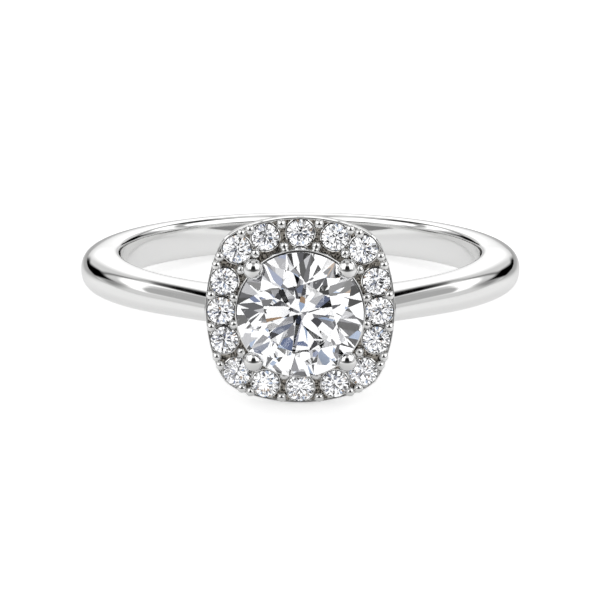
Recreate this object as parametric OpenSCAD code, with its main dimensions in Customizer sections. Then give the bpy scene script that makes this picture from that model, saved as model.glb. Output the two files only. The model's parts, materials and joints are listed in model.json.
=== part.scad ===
// Halo ring: a polished band whose shoulders run straight up into a cushion-shaped halo of
// small brilliants round one large round brilliant on four ball-tipped prongs.
// Each piece is drawn about the finger axis with the head towards -Y. lay_on_side() then rests
// the ring on the halo's lower edge and the back of the band, as it lies on a table.
// In the head's own frame +Z points away from the finger, and heights count from its axis.

/* [Finger] */
// Radius of the finger bore
bore_r = 8.5; // [8.25:0.05:9]

/* [Band] */
// Thickness of the band at its two sides
band_t = 1.85; // [1.6:0.05:2.1]
// Thickness of the band opposite the head
band_back_t = 1.6; // [1.3:0.05:2]
// Width of the band opposite the head
band_w = 1.86; // [1.6:0.02:2.4]
// Width of the band where it runs under the head
band_head_w = 1.5; // [1.2:0.05:1.8]
// Rounding of the band's inner edges
edge_r = 0.3; // [0.15:0.05:0.4]
// Angle from the head at which a shoulder leaves the circle and runs straight
shoulder_deg = 41.6; // [36:0.2:46]
// Fullness of the band's rounded outer face, 2 being an ellipse
band_full = 2.4; // [2:0.1:3]

/* [Halo] */
// Width of the halo across its flats
halo_w = 8.38; // [8.2:0.02:8.8]
// Radius of the halo's four long sides
halo_side_r = 7; // [6:0.1:9]
// Radius of the halo's four corners
halo_corner_r = 1.8; // [1.5:0.05:2]
// Thickness of the halo plate
plate_t = 0.55; // [0.4:0.05:0.7]
// Height of the plate's face over the finger bore
plate_rise = 1.6; // [1.5:0.05:1.9]
// Width of the thin lip round the plate
lip_w = 0.12; // [0.1:0.01:0.2]
// Height of the thin lip over the plate
lip_h = 0.1; // [0.05:0.01:0.15]

/* [Halo stones] */
// Diameter of a halo stone
halo_d = 1.2; // [1.1:0.01:1.24]
// Diameter of the four corner stones
corner_d = 1.24; // [1.1:0.01:1.3]
// Width of metal between a halo stone and the halo's outline
rim_w = 0.09; // [0.06:0.01:0.14]
// Height of the stones' girdles over the plate
halo_girdle = 0.12; // [0.08:0.01:0.16]
// Gap between neighbouring stones on the two sides that face the shoulders
side_gap = 0.12; // [0.08:0.01:0.2]
// Gap between neighbouring stones on the other two sides
end_gap = 0.34; // [0.25:0.01:0.4]
// Direction of a corner stone, seen from its corner's centre
corner_deg = 44; // [42:0.5:48]
// Radius of the drilled hole under each halo stone
drill_r = 0.25; // [0.15:0.01:0.3]

/* [Beads] */
// Radius of a bead
bead_r = 0.185; // [0.15:0.005:0.2]
// Radius of the stem under a bead
bead_stem_r = 0.15; // [0.1:0.005:0.15]
// Height of the beads' centres over the plate
bead_h = 0.2; // [0.15:0.01:0.25]
// Distance of an inner bead from the line between its two stones
bead_in = 0.5; // [0.45:0.01:0.55]
// Distance of a single outer bead from that line
bead_out = 0.43; // [0.4:0.01:0.5]
// Distance of a pair of outer beads from that line, beside a corner stone
pair_out = 0.52; // [0.48:0.01:0.55]
// Half the distance between the two beads of a pair
pair_half = 0.205; // [0.2:0.005:0.24]

/* [Large stone] */
// Diameter of the large stone
stone_d = 5.57; // [5.45:0.01:5.6]
// Height of its girdle over the plate
stone_rise = 0.98; // [0.9:0.01:1.4]
// Diameter of a stone's table, as a share of its own
table_share = 0.57; // [0.53:0.01:0.62]
// Height of a stone's crown, as a share of its diameter
crown_share = 0.15; // [0.12:0.005:0.16]
// Depth of a stone's pavilion, as a share of its diameter
pavilion_share = 0.422; // [0.41:0.002:0.43]
// Thickness of a stone's girdle, as a share of its diameter
girdle_share = 0.02; // [0.01:0.005:0.04]
// Clearance between a stone and the metal that holds it
stone_gap = 0.03; // [0.01:0.005:0.04]

/* [Seat and prongs] */
// Width by which the thin seat ring stands out past the large stone
seat_w = 0.085; // [0.075:0.005:0.115]
// Depth of the seat ring's edge below the girdle
seat_drop = 0.14; // [0.08:0.01:0.2]
// Width of the ledge that the plate leaves under the large stone
ledge_w = 0.88; // [0.7:0.02:1.1]
// Distance of a prong's axis outside the large stone's edge
prong_out = 0.12; // [0.1:0.005:0.15]
// Radius of a prong's ball tip
prong_ball_r = 0.41; // [0.35:0.01:0.42]
// Radius of a prong's post
prong_r = 0.33; // [0.25:0.01:0.34]
// Height of the ball's centre over the girdle
prong_rise = 0.13; // [0.1:0.01:0.2]
// Radius of the leg that carries a prong down to the band
leg_r = 0.3; // [0.2:0.01:0.34]
// Sideways place of a leg's foot in the band
foot_x = 1.35; // [1.2:0.05:1.5]
// Lengthways place of a leg's foot in the band
foot_y = 0.45; // [0.3:0.05:0.5]
// Height of a leg's foot over the finger bore
foot_h = 0.5; // [0.4:0.05:0.7]
// Radius of the hole under the large stone's tip
tip_hole_r = 0.7; // [0.5:0.05:0.9]

/* [Hidden] */
metal = [0.86, 0.86, 0.85];
crystal = [0.93, 0.96, 0.98];
$fn = 96;
// Distance by which a cut runs past the metal
past = 1;

// Heights from the finger axis
plate_top = bore_r + plate_rise;
plate_bottom = plate_top - plate_t;
plate_middle = plate_top - plate_t / 2;
stone_h = plate_top + stone_rise;

// Halo plate
halo_half = halo_w / 2;
side_shift = halo_side_r - halo_half;
corner_gap = halo_side_r - halo_corner_r;
corner_at = (sqrt(2 * corner_gap * corner_gap - side_shift * side_shift) - side_shift) / 2;
corner_from = atan2(corner_at, corner_at + side_shift);

// Points of the halo's outline, or of a line inset from it, found by the direction that the
// outline faces there: four long arcs and four short ones that run into each other smoothly
function arc_turn(deg) = 90 * floor((deg + 45) / 90);
function in_corner(deg) = abs(deg - arc_turn(deg)) >= corner_from;
function turned(v, deg) = [v[0] * cos(deg) - v[1] * sin(deg), v[0] * sin(deg) + v[1] * cos(deg)];
function arc_centre(deg) = in_corner(deg)
    ? turned([corner_at, corner_at * sign(deg - arc_turn(deg))], arc_turn(deg))
    : turned([-side_shift, 0], arc_turn(deg));
function arc_radius(deg) = in_corner(deg) ? halo_corner_r : halo_side_r;
function on_halo(deg, inset) =
    arc_centre(deg) + (arc_radius(deg) - inset) * [cos(deg), sin(deg)];

// Halo stones, sixteen of them, four in each quarter
stones_per_quarter = 4;
stone_count = 4 * stones_per_quarter;
stone_inset = halo_d / 2 + rim_w;
side_deg = asin((halo_d + side_gap) / (halo_side_r - stone_inset));
end_deg = asin((halo_d + end_gap) / (halo_side_r - stone_inset));
even_quarter = [0, side_deg, corner_deg, 90 - end_deg];
odd_quarter = [0, end_deg, 90 - corner_deg, 90 - side_deg];
function quarter(i) = floor(i / stones_per_quarter);
function stone_deg(i) = 90 * quarter(i)
    + (quarter(i) % 2 == 0 ? even_quarter : odd_quarter)[i % stones_per_quarter];
function stone_at(i) = on_halo(stone_deg(i % stone_count), stone_inset);
function is_corner(i) = i % stones_per_quarter == 2;
function small_d(i) = is_corner(i) ? corner_d : halo_d;
girdle_h = plate_top + halo_girdle;

// Beads, one inside and one or two outside each gap between neighbours
function gap_middle(i) = (stone_at(i) + stone_at(i + 1)) / 2;
function gap_along(i) = (stone_at(i + 1) - stone_at(i)) / norm(stone_at(i + 1) - stone_at(i));
function gap_out(i) = turned(gap_along(i), -90);
function by_corner(i) = is_corner(i) || is_corner(i + 1);
bead_places = [
    for (i = [0 : stone_count - 1])
        each concat(
            [gap_middle(i) - bead_in * gap_out(i)],
            by_corner(i)
                ? [for (s = [-1, 1]) gap_middle(i) + pair_out * gap_out(i) + s * pair_half * gap_along(i)]
                : [gap_middle(i) + bead_out * gap_out(i)]
        )
];

// Round brilliant of diameter d, its girdle's middle at the origin and its table up
star_share = 0.763;
half_share = 0.22;
sides = 8;
facet_deg = 360 / sides;
function table_z(d) = (crown_share + girdle_share / 2) * d;
function culet_z(d) = -(pavilion_share + girdle_share / 2) * d;
function girdle_z(d) = girdle_share / 2 * d;
function star_z(d) = table_z(d)
    - crown_share * d * (star_share * cos(facet_deg / 2) - table_share) / (1 - table_share);
function half_z(d) = culet_z(d) + pavilion_share * d * half_share * cos(facet_deg / 2);
function round_points(n, r, z, from) =
    [for (i = [0 : n - 1]) [r * cos(from + 360 * i / n), r * sin(from + 360 * i / n), z]];

// Outline of a brilliant turned about its axis, larger all round by a clearance
function stone_outline(d, gap) = [
    [0, culet_z(d) - gap],
    [half_share * d / 2 + gap, half_z(d) - gap],
    [d / 2 + gap, -girdle_z(d) - gap],
    [d / 2 + gap, girdle_z(d) + gap],
    [star_share * d / 2 + gap, star_z(d) + gap],
    [table_share * d / 2 + gap, table_z(d) + gap],
    [0, table_z(d) + gap]
];

// Seat and prongs
stone_r = stone_d / 2;
seat_r = stone_r + seat_w;
open_r = stone_r - ledge_w;
prong_at = (stone_r + prong_out) / sqrt(2);

// Band, as sections across it at angles from the head, closer together near the shoulders
band_r = bore_r + band_t;
step_fine = 3;
step_coarse = 6;
fine_to = 48;
half_turn = concat([for (a = [0 : step_fine : fine_to - step_fine]) a],
                   [for (a = [fine_to : step_coarse : 180]) a]);
band_degs = concat(half_turn, [for (i = [len(half_turn) - 2 : -1 : 1]) 360 - half_turn[i]]);
// The shoulders run straight up to this height, just under the top of the plate's lip
shoulder_top = plate_top - lip_h / 2;
// Quickness with which the band narrows towards the head
narrowing = 1.5;
// Share of the band's thickness at which its rounded outer face begins
root_share = 0.38;
function from_head(a) = a > 180 ? 360 - a : a;
function outer_r(a) = let (h = from_head(a))
    h < shoulder_deg ? min(band_r / cos(shoulder_deg - h), shoulder_top / cos(h))
    : h < 90 ? band_r
    : band_r - (band_t - band_back_t) * pow(cos(h), 2);
function half_w(a) =
    (band_w + (band_head_w - band_w) * pow(max(0, cos(from_head(a))), narrowing)) / 2;
function root_r(a) = bore_r + root_share * (outer_r(a) - bore_r);
edge_steps = 3;
edge_to = 70;
face_steps = 7;
// Metal that the finger bore cuts away again, so that the bore is one true cylinder
under = 0.25;
function face_point(r0, r1, w, t) =
    [r0 + (r1 - r0) * pow(sin(t), 2 / band_full), w * pow(max(0, cos(t)), 2 / band_full)];
function half_section(a) = let (w = half_w(a), r0 = root_r(a), r1 = outer_r(a)) concat(
    [for (i = [0 : face_steps]) face_point(r0, r1, w, 90 * (1 - i / face_steps))],
    [for (i = [0 : edge_steps]) let (t = edge_to * i / edge_steps)
        [bore_r + edge_r * (1 - sin(t)), w - edge_r * (1 - cos(t))]],
    [[bore_r - under, w - edge_r * (1 - cos(edge_to)) - under]]
);
function section(a) = let (upper = half_section(a), n = len(upper))
    concat(upper, [for (i = [n - 1 : -1 : 1]) [upper[i][0], -upper[i][1]]]);

// Rest: the tilt at which the halo's lower edge and the band's back touch one plane
full_dual = band_full / (band_full - 1);
back_root = root_r(180);
back_bulge = outer_r(180) - back_root;
function back_reach(along, across) = back_root * along
    + pow(pow(back_bulge * along, full_dual) + pow(band_w / 2 * across, full_dual), 1 / full_dual);
function head_depth(t) = halo_half * cos(t) - plate_bottom * sin(t);
function lean(low, high, n) = n == 0 ? (low + high) / 2
    : let (mid = (low + high) / 2)
        head_depth(mid) > back_reach(sin(mid), cos(mid)) ? lean(mid, high, n - 1) : lean(low, mid, n - 1);
tilt = lean(0, 30, 40);
axis_up = head_depth(tilt);
front_reach = (stone_h + table_z(stone_d)) * cos(tilt) + table_share * stone_d / 2 * sin(tilt);
axis_back = (front_reach - back_reach(cos(tilt), sin(tilt))) / 2;

module lay_on_side() {
    translate([0, axis_back, axis_up]) rotate([-tilt, 0, 0]) children();
}

module on_head() {
    rotate([90, 0, 0]) children();
}

// Straight round bar between two points
module bar(p, q, r) {
    v = q - p;
    translate(p) rotate([0, acos(v[2] / norm(v)), atan2(v[1], v[0])]) cylinder(h = norm(v), r = r);
}

// Rings of points from the table down to the tip, and the facets between them
module brilliant(d) {
    girdle_sides = 2 * sides;
    pts = concat(
        round_points(sides, table_share * d / 2, table_z(d), 0),
        round_points(sides, star_share * d / 2, star_z(d), facet_deg / 2),
        round_points(girdle_sides, d / 2, girdle_z(d), 0),
        round_points(girdle_sides, d / 2, -girdle_z(d), 0),
        round_points(sides, half_share * d / 2, half_z(d), facet_deg / 2),
        [[0, 0, culet_z(d)]]
    );
    star0 = sides;
    top0 = star0 + sides;
    low0 = top0 + girdle_sides;
    half0 = low0 + girdle_sides;
    culet = half0 + sides;
    turn = [0 : sides - 1];
    table = [[for (i = [sides - 1 : -1 : 0]) i]];
    stars = [for (i = turn) [i, (i + 1) % sides, star0 + i]];
    mains = [for (i = turn) [i, star0 + i, top0 + 2 * i, star0 + (i + sides - 1) % sides]];
    upper_halves = [for (i = turn) each [
        [star0 + i, top0 + 2 * i + 1, top0 + 2 * i],
        [star0 + i, top0 + (2 * i + 2) % girdle_sides, top0 + 2 * i + 1]
    ]];
    girdle = [for (i = [0 : girdle_sides - 1]) let (next = (i + 1) % girdle_sides)
        [top0 + i, top0 + next, low0 + next, low0 + i]];
    lower_halves = [for (i = turn) each [
        [half0 + i, low0 + 2 * i, low0 + 2 * i + 1],
        [half0 + i, low0 + 2 * i + 1, low0 + (2 * i + 2) % girdle_sides]
    ]];
    pavilion = [for (i = turn) [culet, half0 + (i + sides - 1) % sides, low0 + 2 * i, half0 + i]];
    polyhedron(
        points = pts,
        faces = concat(table, stars, mains, upper_halves, girdle, lower_halves, pavilion),
        convexity = 2
    );
}

// Place of a halo stone, turned so that its facets follow the outline
module at_stone(i) {
    translate([stone_at(i)[0], stone_at(i)[1], girdle_h]) rotate([0, 0, stone_deg(i) + facet_deg / 2])
        children();
}

// Room for a stone in the metal
module stone_room(d) {
    rotate_extrude() polygon(stone_outline(d, stone_gap));
}

module band() {
    n = len(band_degs);
    m = len(section(0));
    pts = [
        for (a = band_degs, p = section(a)) [p[0] * sin(a), -p[0] * cos(a), p[1]]
    ];
    skin = [
        for (i = [0 : n - 1], j = [0 : m - 1])
            let (i2 = (i + 1) % n, j2 = (j + 1) % m)
                each [[i * m + j, i * m + j2, i2 * m + j], [i2 * m + j, i * m + j2, i2 * m + j2]]
    ];
    polyhedron(points = pts, faces = skin, convexity = 10);
}

module halo_outline(inset) {
    outline_steps = 96;
    polygon([for (i = [0 : outline_steps - 1]) on_halo(360 * (i + 0.5) / outline_steps, inset)]);
}

module plate() {
    difference() {
        translate([0, 0, plate_bottom]) linear_extrude(plate_t + lip_h) halo_outline(0);
        translate([0, 0, plate_top]) linear_extrude(past) halo_outline(lip_w);
        translate([0, 0, plate_bottom - past]) cylinder(h = past + plate_t / 2, r = open_r);
    }
}

module seat_ring() {
    seat_top = stone_h - seat_drop;
    translate([0, 0, plate_middle]) cylinder(h = seat_top - plate_middle, r = seat_r);
}

// Post with a ball tip over the stone's edge, and the leg that carries it from the band
module prong(sx, sy) {
    tip = [sx * prong_at, sy * prong_at, stone_h + prong_rise];
    knee = [sx * prong_at, sy * prong_at, plate_middle];
    foot = [sx * foot_x, sy * foot_y, bore_r + foot_h];
    translate(tip) sphere(r = prong_ball_r);
    bar(knee, tip, prong_r);
    bar(foot, knee, leg_r);
}

module bead(at) {
    ball = [at[0], at[1], plate_top + bead_h];
    translate(ball) sphere(r = bead_r);
    bar([at[0], at[1], plate_middle], ball, bead_stem_r);
}

module ring_mount() color(metal) lay_on_side() difference() {
    union() {
        band();
        on_head() {
            plate();
            seat_ring();
            for (sx = [-1, 1], sy = [-1, 1]) prong(sx, sy);
            for (at = bead_places) bead(at);
        }
    }
    cylinder(h = band_w + 2 * past, r = bore_r, center = true);
    on_head() {
        translate([0, 0, stone_h]) stone_room(stone_d);
        translate([0, 0, bore_r - past]) cylinder(h = 2 * past, r = tip_hole_r);
        for (i = [0 : stone_count - 1]) at_stone(i) {
            stone_room(small_d(i));
            translate([0, 0, -halo_girdle - plate_t]) cylinder(h = plate_t, r = drill_r);
        }
    }
}

module centre_stone() color(crystal) lay_on_side() on_head()
    translate([0, 0, stone_h]) brilliant(stone_d);

module halo_stone(i) color(crystal) lay_on_side() on_head() at_stone(i)
    brilliant(small_d(i));

ring_mount();
centre_stone();
for (i = [0 : stone_count - 1])
    halo_stone(i);
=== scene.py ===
import json
import math
import random
from collections import namedtuple

import bmesh
import bpy
from mathutils import Matrix, Vector


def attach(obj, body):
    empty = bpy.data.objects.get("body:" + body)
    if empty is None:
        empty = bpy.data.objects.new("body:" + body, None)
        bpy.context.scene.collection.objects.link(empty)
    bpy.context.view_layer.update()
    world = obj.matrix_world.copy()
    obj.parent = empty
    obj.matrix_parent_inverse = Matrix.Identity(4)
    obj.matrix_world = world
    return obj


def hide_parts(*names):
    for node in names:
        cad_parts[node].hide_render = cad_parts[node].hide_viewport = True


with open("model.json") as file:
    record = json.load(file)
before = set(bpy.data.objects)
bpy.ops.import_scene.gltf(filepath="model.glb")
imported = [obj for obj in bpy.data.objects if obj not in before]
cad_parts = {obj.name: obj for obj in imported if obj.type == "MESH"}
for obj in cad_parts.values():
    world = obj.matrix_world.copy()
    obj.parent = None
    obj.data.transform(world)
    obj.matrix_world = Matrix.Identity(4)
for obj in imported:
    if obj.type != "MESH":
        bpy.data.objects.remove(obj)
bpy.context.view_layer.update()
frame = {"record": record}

MM = 0.001

# The finger bore gives the ring's own directions: across, towards the back, along the finger.
# On the head, up is away from the finger
bore = frame["record"]["mounts"][0]
RING_CENTRE = Vector(bore["pos_m"])
FINGER = Vector(bore["axis"]).normalized()
ACROSS = Vector((1, 0, 0))
BACK = FINGER.cross(ACROSS)


def axes(x, y, z):
    turn = Matrix((x, y, z)).transposed().to_4x4()
    return Matrix.Translation(RING_CENTRE) @ turn @ Matrix.Scale(MM, 4)


ON_RING = axes(ACROSS, BACK, FINGER)
ON_HEAD = axes(ACROSS, FINGER, -BACK)

# Camera, at the photograph's angle to the ring and with the photograph's frame
IMAGE_SIDE = 600
RING_MIDDLE_PX = (300.3, 266.2)
PX_PER_MM = 21.13
CAMERA_OFF = 150
RING_SEEN_FROM_DEG = 11.1
SENSOR = 36
NEAREST_M, FARTHEST_M = 0.01, 10

# Band. Its rounded face begins at root_share of the depth, and the larger band_full is, the
# squarer it is. It gets narrower towards the head, the later the larger narrowing is. It is
# smooth but for creases of more than crease_deg
bore_r = bore["dims"]["r_mm"]
band_t = 1.85
band_back_t = 1.6
band_w = 1.86
band_head_w = 1.5
edge_r = 0.3
shoulder_deg = 41.6
band_full = 2.4
root_share = 0.38
narrowing = 1.5
crease_deg = 18

# Halo plate, counted from the finger axis
halo_w = 8.38
halo_side_r = 7.0
halo_corner_r = 1.8
plate_t = 0.55
plate_top = bore_r + 1.6
plate_bottom = plate_top - plate_t
plate_middle = plate_top - plate_t / 2
lip_w = 0.09
lip_h = 0.1
lip_round = 0.035
shoulder_top = plate_top - 0.01

# Halo stones
halo_d = 1.2
corner_d = 1.24
stone_inset = halo_d / 2 + 0.09
girdle_h = plate_top + 0.12
side_gap = 0.12
end_gap = 0.34
corner_deg = 44
drill_r = 0.25

# Bright rims cut round the halo stones: flat on top as far as rim_flat of the width, then
# sloping to the knee and down
rim_w = 0.08
rim_h = 0.08
rim_flat = 0.2
rim_knee_w, rim_knee_h = 0.6, 0.8
rim_cuts = 18

# Beads
bead_r = 0.215
bead_stem_r = 0.15
bead_h = 0.2
bead_in = 0.5
bead_out = 0.5
pair_out = 0.58
pair_half = 0.205

# Large stone, its seat and its prongs
stone_d = 5.57
stone_r = stone_d / 2
stone_h = plate_top + 0.98
stone_gap = 0.03
seat_r = stone_r + 0.085
seat_top = stone_h - 0.14
open_r = stone_r - 0.88
prong_at = (stone_r + 0.12) / math.sqrt(2)
prong_ball_r = 0.45
prong_r = 0.33
prong_rise = 0.13
leg_r = 0.3
foot_x = 1.35
foot_y = 0.45
foot_h = bore_r + 0.5
tip_hole_r = 0.7
tip_hole_deep = 1.2
seat_round = 0.05

# A cut stone's proportions, as shares of its diameter
table_share = 0.57
star_share = 0.763
half_share = 0.22
crown_share = 0.15
pavilion_share = 0.422
girdle_share = 0.02

# A cutter's hand: how far a facet may be off its true direction, and how the stones are turned
OFF_TRUE_DEG = 0.25
HAND_SEED = 3
LARGE_TURN_DEG = 35
SMALL_TURN_DEG = 22.5

# Steps of the round pieces, about their axis and along their outline
HOOP_STEPS = 320
FACE_STEPS = 24
EDGE_STEPS = 6
HALO_STEPS = 192
LIP_STEPS = 3
SEAT_STEPS = 128
SEAT_ROUND_STEPS = 4
LARGE_STEPS = 96
ROOM_STEPS = 40
SMALL_STEPS = 32
LEG_STEPS = 40
PRONG_STEPS, PRONG_RINGS = 56, 30
BEAD_STEPS, BEAD_RINGS = 28, 14
SMOOTH_DEG = 35
MERGE_MM = 1e-5
GRIND_MM = 1e-4

# Polished metal. As its marks go from the first value to the second, its roughness goes from
# the third to the fourth
POLISH_TONE = (0.84, 0.84, 0.835, 1)
POLISH_MARKS = 900.0
POLISH_ROUGH = (0.35, 0.65, 0.03, 0.07)

# Rough metal between the stones, in dark and pale speckles: partly the setter's tool marks, partly
# painted shade that darkens the recess between the stones
RECESS_MARKS = 13000.0
RECESS_FINENESS = 3.0
RECESS_MARK_AND_SHADE_TONES = ((0.42, (0.05, 0.045, 0.04, 1)), (0.6, (0.72, 0.67, 0.6, 1)))
RECESS_ROUGH = 0.38
RECESS_DEEP = 0.03

# Clear stones
CRYSTAL_TONE = (0.985, 0.99, 1.0, 1)
CRYSTAL_IOR = 2.418

# Floor, a round light table. The metal sees it less bright and with painted shade: darker by
# FLANK_DARK beside and behind the ring, a painted shadow in front of the ring and close round it,
# and a fade to darker far off. Each line of four values is a fade: as the side, in degrees from
# the front, or the distance from the middle, in metres, goes from the first to the second, the
# tone goes from the third to the fourth
FLOOR_R = 75
FLOOR_STEPS = 128
FLOOR_TONE = 0.8
FLOOR_GLOW = 0.51
FLOOR_ROUGH = 0.9
FLOOR_IN_METAL = 0.76
FLANK_DARK = 0.54
FLANK_SIDE = (103, 127, 0.0, 1.0)
FLANK_BACK = (180, 150, 0.4, 1.0)
FLANK_AWAY = (0.009, 0.025, 0.0, 1.0)
FLOOR_FAR = (0.025, 0.06, 1.0, 0.88)
FLOOR_FRONT_SHADOW = (10, 50, 0.8, 1.0)
FLOOR_NEAR_SHADOW = (0.012, 0.018, 1.0, 1.07)

# Studio as the metal sees it, patch over patch. Sides are degrees from the front, the same to
# the left and to the right, and heights are degrees over the floor. A patch leans sideways by
# side_lean for each degree of height and upwards by height_lean for each degree of side, and
# its edges fade over soft degrees, first those at its sides
Patch = namedtuple("Patch", "sides heights side_lean height_lean soft light")
WALLS = 0.72
PATCHES = {
    "dark ceiling": Patch((0, 200), (76, 120), 0, 0, (1, 6), 0.3),
    "side light": Patch((32, 110), (17, 71), 0, 0, (5, 5), 1.5),
    "over the rear light": Patch((114, 150), (41, 66), 0, 0, (6, 3), 0.4),
    "rear light": Patch((109, 147), (0.7, 15), 0, 0.19, (7, 3), 1.5),
    "rib of the side light": Patch((84, 122), (-51, -41), 0, 0.76, (3, 3), 0.45),
    "edge of the side light": Patch((74, 82), (1, 22), 0, 0, (4, 5), 0.4),
    "soft grey": Patch((108, 129), (0, 18), 0, 0, (9, 6), 0.3),
    "leaning gap": Patch((126, 133), (4, 32), 0.77, 0, (5, 4), 0.16),
    "low gap": Patch((132, 157.5), (-3, 15), -0.7, 0, (4, 3), 0.0),
    "gap at the floor": Patch((144, 162), (-5, 3), 0, 0, (4, 2), 0.0),
    "back light": Patch((167, 200), (1, 24), 0, 0, (8, 5), 1.4),
    "over the back light": Patch((160, 178), (28, 36), 0, 0, (5, 3), 0.2),
    "high gap": Patch((126, 165), (120.5, 134), 0, -0.55, (4, 1.5), 0.0),
    "dark line at the horizon": Patch((-10, 70), (-4, 4), 0, 0, (8, 2), 0.25),
    "low dark front": Patch((-10, 50), (5, 17), 0, 0, (10, 3), 0.03),
    "dark beyond the floor": Patch((-10, 25), (-14, 4), 0, 0, (10, 2), 0.05),
    "dark behind the camera": Patch((-10, 28), (12, 60), 0, 0, (5, 10), 0.02),
}

# Studio as the stones see it: a tent of many small panels, each white, grey or a pale colour by
# chance, with round dark spots over them, sides counted to the right. The floor has such panels
# too, seen by the stones alone. The draw says which panel gets which light
PANELS_ACROSS = 9.0
FLOOR_PANEL = 2.0
PANEL_DRAW = (3.3, 6.6, 2.1)
PANELS = (
    (0.0, (0.01, 0.01, 0.01, 1)),
    (0.08, (0.1, 0.1, 0.11, 1)),
    (0.17, (0.32, 0.32, 0.34, 1)),
    (0.27, (0.68, 0.68, 0.7, 1)),
    (0.35, (0.2, 0.25, 0.42, 1)),
    (0.37, (0.48, 0.6, 0.82, 1)),
    (0.40, (0.5, 0.34, 0.22, 1)),
    (0.41, (1.5, 1.5, 1.5, 1)),
)
Spot = namedtuple("Spot", "side height radius light")
SPOT_SOFT = 0.5
SPOTS = (
    Spot(5.5, 17.5, 4.5, (0.0, 0.0, 0.0, 1)),
    Spot(-3, 37, 3.5, (0.01, 0.01, 0.01, 1)),
    Spot(-5, 14.5, 3, (0.22, 0.25, 0.34, 1)),
    Spot(-12, 19, 3, (0.42, 0.43, 0.52, 1)),
    Spot(9, 30, 3.5, (0.16, 0.19, 0.3, 1)),
)


# Finishes
def node_of(tree, kind, **settings):
    node = tree.nodes.new("ShaderNode" + kind)
    for name, value in settings.items():
        setattr(node, name, value)
    return node


def calc(tree, operation, *sources):
    """One step of arithmetic on sockets and plain numbers."""
    node = node_of(tree, "Math", operation=operation)
    for socket, source in zip(node.inputs, sources):
        if isinstance(source, bpy.types.NodeSocket):
            tree.links.new(source, socket)
        else:
            socket.default_value = source
    return node.outputs[0]


def fade(tree, source, start, end, low=0.0, high=1.0):
    """A soft step from low to high as the source goes from start to end."""
    node = node_of(tree, "MapRange", interpolation_type="SMOOTHSTEP")
    for name, value in (("From Min", start), ("From Max", end), ("To Min", low), ("To Max", high)):
        socket = node.inputs[name]
        if isinstance(value, bpy.types.NodeSocket):
            tree.links.new(value, socket)
        else:
            socket.default_value = value
    tree.links.new(source, node.inputs["Value"])
    return node.outputs["Result"]


def side_of(tree, x, y):
    """Degrees from the front, the same to the left and to the right."""
    around = calc(tree, "ARCTAN2", x, calc(tree, "MULTIPLY", y, -1.0))
    return calc(tree, "DEGREES", calc(tree, "ABSOLUTE", around))


def new_finish(name):
    finish = bpy.data.materials.new(name)
    finish.use_nodes = True
    tree = finish.node_tree
    shader = tree.nodes["Principled BSDF"]
    place = node_of(tree, "TexCoord").outputs["Object"]
    return finish, tree, shader, place


def grain(tree, place, scale, detail=2.0):
    node = node_of(tree, "TexNoise")
    node.inputs["Scale"].default_value = scale
    node.inputs["Detail"].default_value = detail
    tree.links.new(place, node.inputs["Vector"])
    return node.outputs["Fac"]


def bump(tree, shader, height, depth):
    node = node_of(tree, "Bump")
    node.inputs["Strength"].default_value = 1.0
    node.inputs["Distance"].default_value = depth
    tree.links.new(height, node.inputs["Height"])
    tree.links.new(node.outputs["Normal"], shader.inputs["Normal"])


def polished_metal():
    """White gold with a mirror polish: faint polishing marks and a slight change in gloss."""
    finish, tree, shader, place = new_finish("polished_white_gold")
    shader.inputs["Base Color"].default_value = POLISH_TONE
    shader.inputs["Metallic"].default_value = 1.0
    rough = fade(tree, grain(tree, place, POLISH_MARKS), *POLISH_ROUGH)
    tree.links.new(rough, shader.inputs["Roughness"])
    return finish


def recessed_metal():
    """Metal between the stones, left rough by the setter's tools, its dark speckled tone partly
    tool marks and partly painted shade in the recess.
    """
    finish, tree, shader, place = new_finish("recessed_white_gold_painted_shade")
    marks = grain(tree, place, RECESS_MARKS, RECESS_FINENESS)
    # The dark speckles are partly tool marks and partly painted shade between the stones
    tone = node_of(tree, "ValToRGB")
    for stop, (start, colour) in zip(tone.color_ramp.elements, RECESS_MARK_AND_SHADE_TONES):
        stop.position = start
        stop.color = colour
    tree.links.new(marks, tone.inputs["Fac"])
    tree.links.new(tone.outputs["Color"], shader.inputs["Base Color"])
    shader.inputs["Metallic"].default_value = 1.0
    shader.inputs["Roughness"].default_value = RECESS_ROUGH
    bump(tree, shader, marks, RECESS_DEEP * MM)
    return finish


def cut_crystal():
    """Clear stone with polished facets."""
    finish, tree, shader, place = new_finish("cut_crystal")
    shader.inputs["Base Color"].default_value = CRYSTAL_TONE
    shader.inputs["Roughness"].default_value = 0.0
    shader.inputs["IOR"].default_value = CRYSTAL_IOR
    shader.inputs["Transmission Weight"].default_value = 1.0
    return finish


def panels_of(tree, place, across):
    """The tent's panels: cells, each with one light out of the list."""
    moved = node_of(tree, "VectorMath", operation="ADD")
    tree.links.new(place, moved.inputs[0])
    moved.inputs[1].default_value = PANEL_DRAW
    cells = node_of(tree, "TexVoronoi", feature="F1")
    cells.inputs["Scale"].default_value = across
    tree.links.new(moved.outputs[0], cells.inputs["Vector"])
    drawn = node_of(tree, "SeparateColor")
    tree.links.new(cells.outputs["Color"], drawn.inputs[0])
    choice = node_of(tree, "ValToRGB")
    choice.color_ramp.interpolation = "CONSTANT"
    stops = choice.color_ramp.elements
    while len(stops) < len(PANELS):
        stops.new(1.0)
    for stop, (start, light) in zip(stops, PANELS):
        stop.position = start
        stop.color = light
    tree.links.new(drawn.outputs[0], choice.inputs["Fac"])
    return choice.outputs["Color"]


def blend_in(tree, below, inside, light):
    """Lays a light, a colour or a socket, over what is below it."""
    over = node_of(tree, "Mix", data_type="RGBA")
    for socket, source in ((over.inputs["Factor"], inside), (over.inputs[6], below),
                           (over.inputs[7], light)):
        if isinstance(source, bpy.types.NodeSocket):
            tree.links.new(source, socket)
        else:
            socket.default_value = source
    return over.outputs[2]


def grey(level):
    return (level, level, level, 1)


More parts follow.
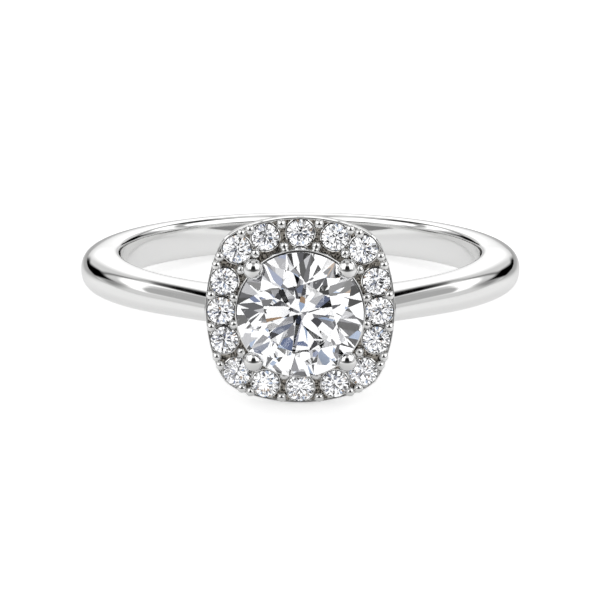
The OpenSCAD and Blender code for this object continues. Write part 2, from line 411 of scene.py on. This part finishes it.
def pale_floor():
    """Plain pale floor that glows a little, as a light table does. In the metal it is seen
    darker, with painted shade beside and behind the ring, a painted shadow in front of it and
    close round it and a fade far off, and in the stones it has the tent's panels."""
    finish, tree, shader, place = new_finish("pale_floor")
    axis = node_of(tree, "SeparateXYZ")
    tree.links.new(place, axis.inputs[0])
    x, y, z = axis.outputs
    side = side_of(tree, x, y)
    away = calc(tree, "SQRT", calc(tree, "ADD", calc(tree, "MULTIPLY", x, x),
                                   calc(tree, "MULTIPLY", y, y)))
    # Painted shade seen in the metal: the floor darker beside and behind the ring
    flank = calc(tree, "MULTIPLY", fade(tree, side, *FLANK_SIDE), fade(tree, side, *FLANK_BACK))
    flank = calc(tree, "MULTIPLY", flank, fade(tree, away, *FLANK_AWAY))
    tone = calc(tree, "MULTIPLY_ADD", flank, -FLANK_DARK * FLOOR_IN_METAL, FLOOR_IN_METAL)
    # Painted shadow in front of the ring and close round it, and a fade to darker far off, seen in
    # the metal
    for where, change in ((away, FLOOR_FAR), (side, FLOOR_FRONT_SHADOW), (away, FLOOR_NEAR_SHADOW)):
        tone = calc(tree, "MULTIPLY", tone, fade(tree, where, *change))
    path = node_of(tree, "LightPath")
    tone = calc(tree, "MAXIMUM", tone, path.outputs["Is Camera Ray"])
    in_stone = path.outputs["Is Transmission Ray"]
    even = node_of(tree, "CombineColor")
    for channel in even.inputs[:3]:
        tree.links.new(calc(tree, "MULTIPLY", tone, FLOOR_TONE), channel)
    colour = blend_in(tree, even.outputs[0], in_stone, grey(0))
    tree.links.new(colour, shader.inputs["Base Color"])
    glow = blend_in(tree, grey(1), in_stone, panels_of(tree, place, 1 / (FLOOR_PANEL * MM)))
    tree.links.new(glow, shader.inputs["Emission Color"])
    strength = calc(tree, "MAXIMUM", calc(tree, "MULTIPLY", tone, FLOOR_GLOW), in_stone)
    tree.links.new(strength, shader.inputs["Emission Strength"])
    shader.inputs["Roughness"].default_value = FLOOR_ROUGH
    shader.inputs["Specular IOR Level"].default_value = 0.0
    return finish


METAL = polished_metal()
RECESS = recessed_metal()
CRYSTAL = cut_crystal()


# Shapes
def finish_piece(bm, name, place, finishes, smooth_deg=SMOOTH_DEG):
    """Closes a shape as a piece of the ring: put in place, smooth where it is rounded and
    sharp where two faces meet at more than smooth_deg, or all sharp where that is 0."""
    bmesh.ops.recalc_face_normals(bm, faces=bm.faces)
    mesh = bpy.data.meshes.new(name)
    bm.to_mesh(mesh)
    bm.free()
    mesh.transform(place)
    for finish in finishes:
        mesh.materials.append(finish)
    piece = bpy.data.objects.new(name, mesh)
    bpy.context.scene.collection.objects.link(piece)
    smooth(piece, smooth_deg)
    return piece


def smooth(piece, smooth_deg):
    for face in piece.data.polygons:
        face.use_smooth = smooth_deg > 0
    if smooth_deg:
        piece.data.set_sharp_from_angle(angle=math.radians(smooth_deg))


def turn(bm, outline, steps, at=(0, 0, 0), closed=False):
    """Turns an outline of (radius, height) points about the upright line through a place."""
    verts = [bm.verts.new((r, 0, z)) for r, z in outline]
    ends = verts[1:] + verts[:1] if closed else verts[1:]
    edges = [bm.edges.new(pair) for pair in zip(verts, ends)]
    before = set(bm.verts) - set(verts)
    bmesh.ops.spin(bm, geom=verts + edges, cent=(0, 0, 0), axis=(0, 0, 1), angle=math.tau,
                   steps=steps, use_merge=True)
    made = [v for v in bm.verts if v not in before]
    bmesh.ops.remove_doubles(bm, verts=made, dist=MERGE_MM)
    made = [v for v in bm.verts if v not in before]
    bmesh.ops.translate(bm, verts=made, vec=at)
    return made


def rod(bm, start, end, radius, steps):
    """A straight round bar between two points."""
    along = Vector(end) - Vector(start)
    lie = along.to_track_quat("Z", "Y").to_matrix().to_4x4()
    middle = Matrix.Translation((Vector(start) + Vector(end)) / 2)
    bmesh.ops.create_cone(bm, cap_ends=True, segments=steps, radius1=radius, radius2=radius,
                          depth=along.length, matrix=middle @ lie)


def carve(piece, tool, smooth_deg=SMOOTH_DEG):
    """Cuts a tool's shape out of a piece."""
    cut = piece.modifiers.new("carve", "BOOLEAN")
    cut.operation = "DIFFERENCE"
    cut.solver = "EXACT"
    cut.object = tool
    seen = piece.evaluated_get(bpy.context.evaluated_depsgraph_get())
    carved = bpy.data.meshes.new_from_object(seen)
    piece.modifiers.clear()
    piece.data = carved
    smooth(piece, smooth_deg)


def keep(piece, slot, *nodes):
    """Makes a finished piece part of the ring."""
    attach(piece, "root")
    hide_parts(*nodes)


# Halo outline, found by the direction that it faces: four long arcs and four short ones
side_shift = halo_side_r - halo_w / 2
corner_gap = halo_side_r - halo_corner_r
corner_at = (math.sqrt(2 * corner_gap ** 2 - side_shift ** 2) - side_shift) / 2
corner_from = math.degrees(math.atan2(corner_at, corner_at + side_shift))


def on_halo(deg, inset=0.0):
    quarter = 90 * math.floor((deg + 45) / 90)
    off = deg - quarter
    if abs(off) >= corner_from:
        middle, radius = Vector((corner_at, math.copysign(corner_at, off), 0)), halo_corner_r
    else:
        middle, radius = Vector((-side_shift, 0, 0)), halo_side_r
    middle.rotate(Matrix.Rotation(math.radians(quarter), 3, "Z"))
    facing = Vector((math.cos(math.radians(deg)), math.sin(math.radians(deg)), 0))
    return middle + (radius - inset) * facing


# Halo stones, sixteen of them, four in each quarter, the third of each at a corner
side_deg = math.degrees(math.asin((halo_d + side_gap) / (halo_side_r - stone_inset)))
end_deg = math.degrees(math.asin((halo_d + end_gap) / (halo_side_r - stone_inset)))
EVEN_QUARTER = (0, side_deg, corner_deg, 90 - end_deg)
ODD_QUARTER = (0, end_deg, 90 - corner_deg, 90 - side_deg)
STONE_DEGS = [90 * q + deg for q in range(4) for deg in (EVEN_QUARTER, ODD_QUARTER)[q % 2]]
STONE_PLACES = [on_halo(deg, stone_inset) for deg in STONE_DEGS]


def at_corner(i):
    return i % 4 == 2


def small_d(i):
    return corner_d if at_corner(i) else halo_d


# Band
def from_head(deg):
    return abs((deg + 180) % 360 - 180)


def outer_r(deg):
    off = from_head(deg)
    turned = math.cos(math.radians(off))
    if off < shoulder_deg:
        straight = (bore_r + band_t) / math.cos(math.radians(shoulder_deg - off))
        return min(straight, shoulder_top / turned)
    thinner = (band_t - band_back_t) * turned ** 2 if off > 90 else 0
    return bore_r + band_t - thinner


def half_w(deg):
    near = max(0, math.cos(math.radians(from_head(deg)))) ** narrowing
    return (band_w + (band_head_w - band_w) * near) / 2


def band_section():
    """The band's section as (depth, side) points: depth 0 at the bore, 1 where the rounded
    outer face begins and 2 at its crown, and side from -1 to 1."""
    depth_r = edge_r / (root_share * band_t)
    side_r = edge_r / (band_w / 2)
    half = []
    for i in range(FACE_STEPS + 1):
        t = math.pi / 2 * (1 - i / FACE_STEPS)
        half.append((1 + math.sin(t) ** (2 / band_full), max(0, math.cos(t)) ** (2 / band_full)))
    for i in range(EDGE_STEPS + 1):
        t = math.pi / 2 * i / EDGE_STEPS
        half.append((depth_r * (1 - math.sin(t)), 1 - side_r * (1 - math.cos(t))))
    return half + [(depth, -side) for depth, side in reversed(half[1:])]


def make_band():
    """Turned as an even hoop, then drawn out to the shoulders and thinned towards the back. The
    hoop's step nearest to the crease at each shoulder's end is moved to the crease."""
    hoop_r = 10
    slope = math.radians(shoulder_deg)
    crease = math.degrees(math.atan2(bore_r + band_t - shoulder_top * math.cos(slope),
                                     shoulder_top * math.sin(slope)))
    bm = bmesh.new()
    turn(bm, [(hoop_r + depth, side) for depth, side in band_section()], HOOP_STEPS, closed=True)
    for v in bm.verts:
        deg = math.degrees(math.atan2(v.co.x, -v.co.y))
        if abs(from_head(deg) - crease) < 180 / HOOP_STEPS:
            deg = math.copysign(crease, deg)
        depth = math.hypot(v.co.x, v.co.y) - hoop_r
        crown = outer_r(deg)
        root = bore_r + root_share * (crown - bore_r)
        r = bore_r + depth * (root - bore_r) if depth < 1 else root + (depth - 1) * (crown - root)
        around = math.radians(deg)
        v.co = (r * math.sin(around), -r * math.cos(around), v.co.z * half_w(deg))
    return finish_piece(bm, "band", ON_RING, [METAL], crease_deg)


# Halo
def make_halo_plate():
    """The cushion-shaped plate, its lip rolled over, its face between the stones left rough and
    darkened by painted shade.
    """
    bm = bmesh.new()
    bmesh.ops.create_circle(bm, cap_ends=True, segments=HALO_STEPS, radius=1)
    for v in bm.verts:
        v.co = on_halo(math.degrees(math.atan2(v.co.y, v.co.x))) + Vector((0, 0, plate_bottom))
    made = bmesh.ops.extrude_face_region(bm, geom=bm.faces[:])["geom"]
    top = [f for f in made if isinstance(f, bmesh.types.BMFace)]
    bmesh.ops.translate(bm, verts=top[0].verts, vec=(0, 0, plate_t + lip_h))
    bmesh.ops.recalc_face_normals(bm, faces=bm.faces)
    bmesh.ops.inset_region(bm, faces=top, thickness=lip_w, use_even_offset=True)
    bmesh.ops.inset_region(bm, faces=top, thickness=lip_round, use_even_offset=True)
    bmesh.ops.translate(bm, verts=top[0].verts, vec=(0, 0, -lip_h))
    # The face between the stones takes the rough metal with its painted shade
    top[0].material_index = 1
    square = math.radians(70)
    outer = [e for e in bm.edges if e.calc_face_angle(0) > square]
    bmesh.ops.bevel(bm, geom=outer, offset=lip_round, offset_type="OFFSET", affect="EDGES",
                    segments=LIP_STEPS, profile=0.5, material=-1)
    return finish_piece(bm, "halo_plate", ON_HEAD, [METAL, RECESS])


def stone_heights(d):
    """Heights of a stone's tip, lower halves, girdle, stars and table over its middle."""
    high = girdle_share / 2 * d
    table_z = high + crown_share * d
    tip = -high - pavilion_share * d
    across = math.cos(math.pi / 8)
    half_z = tip + pavilion_share * d * half_share * across
    star_drop = crown_share * d * (star_share * across - table_share) / (1 - table_share)
    return tip, half_z, -high, high, table_z - star_drop, table_z


def stone_room(d, gap, hole_r, hole_deep):
    """Half section of the room that a stone needs in the metal, with the hole under it."""
    tip, half_z, low, high, star_z, table_z = stone_heights(d)
    rise = (half_z - tip) / (half_share * d / 2)
    return [
        (0, tip - hole_deep),
        (hole_r, tip - hole_deep),
        (hole_r, tip - gap + rise * hole_r),
        (d / 2 + gap, low - gap),
        (d / 2 + gap, high + gap),
        (star_share * d / 2 + gap, star_z + gap),
        (table_share * d / 2 + gap, table_z + gap),
        (0, table_z + gap),
    ]


def make_rooms():
    """The rooms of all the stones, as one tool that is cut out of the metal."""
    bm = bmesh.new()
    turn(bm, stone_room(stone_d, stone_gap, tip_hole_r, tip_hole_deep), LARGE_STEPS,
         (0, 0, stone_h))
    for i, place in enumerate(STONE_PLACES):
        turn(bm, stone_room(small_d(i), stone_gap, drill_r, plate_t), ROOM_STEPS,
             place + Vector((0, 0, girdle_h)))
    return finish_piece(bm, "rooms", ON_HEAD, [METAL], 0)


def make_opening():
    """The round opening in the plate under the large stone, as a tool."""
    bm = bmesh.new()
    rod(bm, (0, 0, plate_bottom - 1), (0, 0, plate_middle), open_r, LARGE_STEPS)
    return finish_piece(bm, "opening", ON_HEAD, [METAL], 0)


def make_seat():
    """The thin bright ring that the large stone sits in."""
    bm = bmesh.new()
    room = stone_room(stone_d, stone_gap, tip_hole_r, tip_hole_deep)
    (foot_r, foot_z), (room_r, room_z) = room[2:4]
    widening = (room_r - foot_r) / (room_z - foot_z)
    low, inner = (room_r + (z - stone_h - room_z) * widening for z in (plate_middle, seat_top))
    outline = [(low, plate_middle), (seat_r, plate_middle), (seat_r, seat_top - seat_round)]
    for i in range(1, SEAT_ROUND_STEPS + 1):
        t = math.pi / 2 * i / SEAT_ROUND_STEPS
        outline.append((seat_r - seat_round * (1 - math.cos(t)),
                        seat_top - seat_round * (1 - math.sin(t))))
    turn(bm, outline + [(inner, seat_top)], SEAT_STEPS, closed=True)
    return finish_piece(bm, "seat_ring", ON_HEAD, [METAL])


def make_rims():
    """A thin bright rim round each halo stone, in short flat cuts as a graver leaves it."""
    bm = bmesh.new()
    for i, place in enumerate(STONE_PLACES):
        inner = small_d(i) / 2 + stone_gap
        outline = [(inner, plate_top - rim_h), (inner + rim_w, plate_top - rim_h),
                   (inner + rim_w, plate_top),
                   (inner + rim_w * rim_knee_w, plate_top + rim_h * rim_knee_h),
                   (inner + rim_w * rim_flat, plate_top + rim_h), (inner, plate_top + rim_h)]
        turn(bm, outline, rim_cuts, place, closed=True)
    return finish_piece(bm, "stone_rims", ON_HEAD, [METAL], 0)


def ball_on_post(ball_r, post_r, post_bottom, ball_z, steps):
    """Half section of a ball on a post, from the post's foot up over the ball."""
    start = math.asin(post_r / ball_r)
    outline = [(0, post_bottom), (post_r, post_bottom)]
    for i in range(steps + 1):
        t = start + (math.pi - start) * i / steps
        outline.append((ball_r * math.sin(t), ball_z - ball_r * math.cos(t)))
    return outline


def make_prongs():
    """Four posts beside the large stone, each with a ball over the stone's edge."""
    prongs = []
    for i, (sx, sy) in enumerate(((1, 1), (-1, 1), (-1, -1), (1, -1))):
        bm = bmesh.new()
        outline = ball_on_post(prong_ball_r, prong_r, plate_middle, stone_h + prong_rise,
                               PRONG_RINGS)
        turn(bm, outline, PRONG_STEPS, (sx * prong_at, sy * prong_at, 0))
        prongs.append(finish_piece(bm, f"prong_{i + 1}", ON_HEAD, [METAL]))
    return prongs


def make_legs():
    """The legs that carry the prongs from the band, under the plate."""
    bm = bmesh.new()
    for sx in (-1, 1):
        for sy in (-1, 1):
            rod(bm, (sx * foot_x, sy * foot_y, foot_h),
                (sx * prong_at, sy * prong_at, plate_middle), leg_r, LEG_STEPS)
    return finish_piece(bm, "prong_legs", ON_HEAD, [METAL])


def bead_places():
    """One bead inside each gap between two stones and one outside it, or two at a corner."""
    for i, here in enumerate(STONE_PLACES):
        after = STONE_PLACES[(i + 1) % len(STONE_PLACES)]
        middle = (here + after) / 2
        along = (after - here).normalized()
        out = Vector((along.y, -along.x, 0))
        yield middle - bead_in * out
        if at_corner(i) or at_corner(i + 1):
            yield middle + pair_out * out - pair_half * along
            yield middle + pair_out * out + pair_half * along
        else:
            yield middle + bead_out * out


def make_beads():
    """The setter's beads that hold the halo stones, on stems that stand in the plate."""
    bm = bmesh.new()
    outline = ball_on_post(bead_r, bead_stem_r, plate_middle, plate_top + bead_h, BEAD_RINGS)
    for place in bead_places():
        turn(bm, outline, BEAD_STEPS, place)
    return finish_piece(bm, "beads", ON_HEAD, [METAL])


# Stones
def facet(bm, deg, outer, inner, hand):
    """Grinds one flat facet that faces a direction, through two (radius, height) points,
    the first of them nearer the girdle. What lies outside the facet is ground away. No facet
    is ground quite true: hand draws by how much it is off."""
    run, rise = outer[0] - inner[0], inner[1] - outer[1]
    around = math.radians(deg)
    through = Vector((outer[0] * math.cos(around), outer[0] * math.sin(around), outer[1]))
    around += math.radians(hand.uniform(-OFF_TRUE_DEG, OFF_TRUE_DEG))
    slope = math.atan2(math.copysign(run, rise), abs(rise))
    slope += math.radians(hand.uniform(-OFF_TRUE_DEG, OFF_TRUE_DEG))
    facing = Vector((math.cos(slope) * math.cos(around), math.cos(slope) * math.sin(around),
                     math.sin(slope)))
    parts = bm.verts[:] + bm.edges[:] + bm.faces[:]
    made = bmesh.ops.bisect_plane(bm, geom=parts, dist=GRIND_MM, plane_co=through,
                                  plane_no=facing, clear_outer=True)
    rim = [e for e in made["geom_cut"] if isinstance(e, bmesh.types.BMEdge)]
    bmesh.ops.contextual_create(bm, geom=rim)


def grind_brilliant(d, girdle_steps, hand):
    """A round blank ground to a brilliant: table, 8 mains, 16 upper halves and 8 stars above
    the girdle, 8 mains and 16 lower halves below it."""
    tip, half_z, low, high, star_z, table_z = stone_heights(d)
    r, table_r, star_r, half_r = d / 2, table_share * d / 2, star_share * d / 2, half_share * d / 2
    eighth = 45
    chord = math.cos(math.pi / 16)
    inside = math.cos(math.pi / 8)
    bm = bmesh.new()
    middle = Matrix.Translation((0, 0, (table_z + tip) / 2))
    bmesh.ops.create_cone(bm, cap_ends=True, segments=girdle_steps, radius1=r, radius2=r,
                          depth=table_z - tip, matrix=middle)
    for i in range(8):
        facet(bm, eighth * i, (r, high), (table_r, table_z), hand)
        facet(bm, eighth * i, (r, low), (0, tip), hand)
    for i in range(16):
        deg = eighth / 4 + eighth / 2 * i
        facet(bm, deg, (r * chord, high), (star_r * chord, star_z), hand)
        facet(bm, deg, (r * chord, low), (half_r * chord, half_z), hand)
    for i in range(8):
        facet(bm, eighth * (i + 0.5), (star_r, star_z), (table_r * inside, table_z), hand)
    bmesh.ops.dissolve_degenerate(bm, dist=GRIND_MM, edges=bm.edges)
    bmesh.ops.remove_doubles(bm, verts=bm.verts, dist=GRIND_MM)
    return bm


def set_stone(bm, name, place, turned_deg, node):
    """Sets a ground stone at its place on the head, turned about its own axis."""
    turned = Matrix.Rotation(math.radians(turned_deg), 4, "Z")
    stone = finish_piece(bm, name, ON_HEAD @ Matrix.Translation(place) @ turned, [CRYSTAL], 0)
    keep(stone, "stone", node)


def set_stones():
    hand = random.Random(HAND_SEED)
    set_stone(grind_brilliant(stone_d, LARGE_STEPS, hand), "large_brilliant", (0, 0, stone_h),
              LARGE_TURN_DEG, "centre_stone")
    for i, place in enumerate(STONE_PLACES):
        set_stone(grind_brilliant(small_d(i), SMALL_STEPS, hand), f"small_brilliant_{i + 1:02d}",
                  place + Vector((0, 0, girdle_h)), STONE_DEGS[i] + SMALL_TURN_DEG,
                  f"halo_stone_{i + 1:02d}")


# Studio
def set_camera():
    tilt = math.degrees(math.atan2(FINGER.y, FINGER.z))
    up = math.radians(RING_SEEN_FROM_DEG + tilt)
    lens = bpy.data.cameras.new("camera")
    lens.sensor_width = SENSOR
    lens.lens = PX_PER_MM * CAMERA_OFF / IMAGE_SIDE * SENSOR
    lens.shift_x = (IMAGE_SIDE / 2 - RING_MIDDLE_PX[0]) / IMAGE_SIDE
    lens.shift_y = (RING_MIDDLE_PX[1] - IMAGE_SIDE / 2) / IMAGE_SIDE
    lens.clip_start = NEAREST_M
    lens.clip_end = FARTHEST_M
    camera = bpy.data.objects.new("camera", lens)
    camera.location = RING_CENTRE + CAMERA_OFF * MM * Vector((0, -math.cos(up), math.sin(up)))
    camera.rotation_euler = (math.pi / 2 - up, 0, 0)
    bpy.context.scene.collection.objects.link(camera)
    bpy.context.scene.camera = camera


def lay_floor():
    bm = bmesh.new()
    bmesh.ops.create_circle(bm, cap_ends=True, segments=FLOOR_STEPS, radius=FLOOR_R)
    floor = finish_piece(bm, "floor", Matrix.Scale(MM, 4), [pale_floor()], 0)


def patch_of(tree, side, height, patch):
    """How far a direction lies inside a patch of light, from 0 to 1."""
    inside = 1.0
    leaning = (calc(tree, "MULTIPLY_ADD", height, -patch.side_lean, side),
               calc(tree, "MULTIPLY_ADD", side, -patch.height_lean, height))
    for where, (start, end), soft in zip(leaning, (patch.sides, patch.heights), patch.soft):
        inside = calc(tree, "MULTIPLY", inside, fade(tree, where, start - soft, start + soft))
        inside = calc(tree, "MULTIPLY", inside, fade(tree, where, end + soft, end - soft))
    return inside


def spot_of(tree, direction, spot):
    """How far a direction lies inside a round spot, from 0 to 1."""
    side, height = math.radians(spot.side), math.radians(spot.height)
    towards = node_of(tree, "VectorMath", operation="DOT_PRODUCT")
    tree.links.new(direction, towards.inputs[0])
    towards.inputs[1].default_value = (math.sin(side) * math.cos(height),
                                       -math.cos(side) * math.cos(height), math.sin(height))
    off = calc(tree, "DEGREES", calc(tree, "ARCCOSINE", towards.outputs["Value"]))
    return fade(tree, off, spot.radius + SPOT_SOFT, spot.radius - SPOT_SOFT)


def light_studio():
    """The studio as a sky: metal sees the lights and the dark gaps between them, stones see a
    tent of small panels with dark spots round the camera, and the camera sees plain white."""
    world = bpy.data.worlds.new("studio")
    bpy.context.scene.world = world
    world.use_nodes = True
    tree = world.node_tree
    direction = node_of(tree, "TexCoord").outputs["Generated"]
    axis = node_of(tree, "SeparateXYZ")
    tree.links.new(direction, axis.inputs[0])
    x, y, z = axis.outputs
    height = calc(tree, "DEGREES", calc(tree, "ARCSINE", z))
    side = side_of(tree, x, y)
    on_metal = grey(WALLS)
    for patch in PATCHES.values():
        on_metal = blend_in(tree, on_metal, patch_of(tree, side, height, patch), grey(patch.light))
    in_stone = panels_of(tree, direction, PANELS_ACROSS)
    for spot in SPOTS:
        in_stone = blend_in(tree, in_stone, spot_of(tree, direction, spot), spot.light)
    path = node_of(tree, "LightPath")
    sky = blend_in(tree, on_metal, path.outputs["Is Transmission Ray"], in_stone)
    sky = blend_in(tree, sky, path.outputs["Is Camera Ray"], grey(1.0))
    tree.links.new(sky, tree.nodes["Background"].inputs["Color"])


set_camera()
bpy.context.scene.view_settings.view_transform = "Standard"
lay_floor()
light_studio()

rooms = make_rooms()
opening = make_opening()
band = make_band()
halo_plate = make_halo_plate()
beads = make_beads()
prongs = make_prongs()
carve(halo_plate, opening)
carve(band, rooms, crease_deg)
for piece in [halo_plate, beads] + prongs:
    carve(piece, rooms)
for piece in [band, halo_plate, beads, make_seat(), make_rims(), make_legs()] + prongs:
    keep(piece, "metal", "ring_mount")
for tool in (rooms, opening):
    bpy.data.objects.remove(tool)
set_stones()
